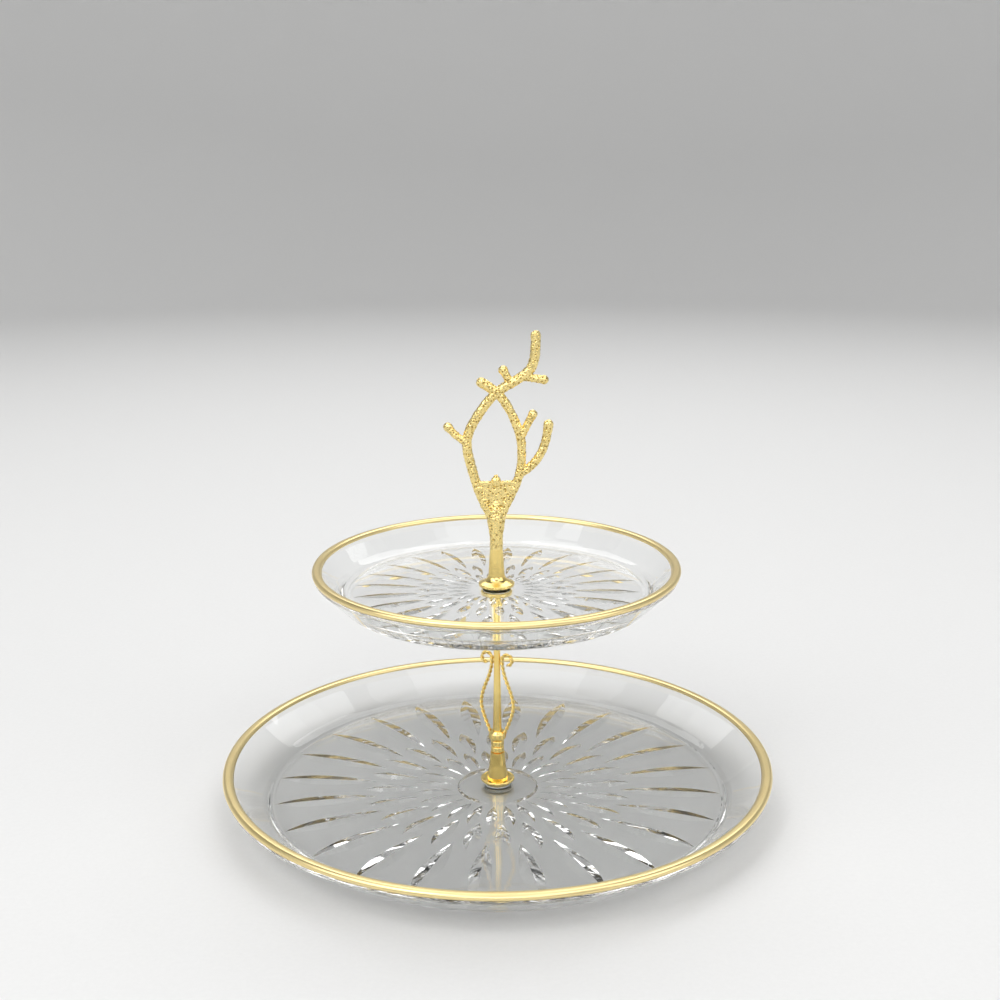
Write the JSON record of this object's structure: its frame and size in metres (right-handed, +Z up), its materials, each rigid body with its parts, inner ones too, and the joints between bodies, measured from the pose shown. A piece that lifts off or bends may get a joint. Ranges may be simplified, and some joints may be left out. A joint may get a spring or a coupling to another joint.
{
  "type": "tiered cake stand",
  "caption": "Tiered cake stand with cut-glass plates, gold rims, a slim gold column with lyre wires and a screw-off handle shaped like bare branches.",
  "frame": {"origin": "on the table, under the middle of the lower plate", "axes": "+Z up along the column, -Y towards the front of the handle, +X to the right seen from the front"},
  "size_m": [0.321, 0.321, 0.2767],
  "materials": {
    "clear_glass": "fire polished",
    "fired_gold": "gloss",
    "gold_plate": "polished",
    "bark_gold": "cast bark texture, gold plated",
    "twisted_gold": "twisted wire, gold plated",
    "zinc_steel": "zinc plated",
    "soft_washer": "matte"
  },
  "bodies": {
    "lower_tier": {"lower_plate": "clear_glass", "lower_gilt_rim": "fired_gold"},
    "column": {"base_screw": "zinc_steel", "base_washer": "zinc_steel", "base_gasket": "soft_washer", "foot_gasket": "soft_washer", "column_foot": "gold_plate", "column_stem": "gold_plate", "neck_ring": "gold_plate", "column_knob": "gold_plate", "lyre_wire_left": "twisted_gold", "lyre_wire_right": "twisted_gold", "column_rod": "gold_plate", "seat_collar": "gold_plate", "seat_gasket": "soft_washer"},
    "upper_tier": {"upper_plate": "clear_glass", "upper_gilt_rim": "fired_gold"},
    "handle_washer": {"handle_gasket": "soft_washer"},
    "handle": {"handle_base": "gold_plate", "branch_handle": "bark_gold"}
  },
  "joints": [
    {"name": "column_turn", "type": "hinge", "parent": "lower_tier", "child": "column", "pos_m": [0, 0, 0.006], "axis": [0, 0, 1], "continuous": true},
    {"name": "upper_tier_turn", "type": "hinge", "parent": "column", "child": "upper_tier", "pos_m": [0, 0, 0.123], "axis": [0, 0, 1], "continuous": true},
    {"name": "handle_turn", "type": "hinge", "parent": "column", "child": "handle_washer", "pos_m": [0, 0, 0.1299], "axis": [0, 0, 1], "range_deg": [0, 2880]},
    {"name": "handle_lift", "type": "slide", "parent": "handle_washer", "child": "handle", "axis": [0, 0, 1], "range_m": [0, 0.0056]}
  ],
  "couplings": [
    {"joint": "handle_turn", "follows": "handle_lift", "rad_per_m": 8976}
  ]
}
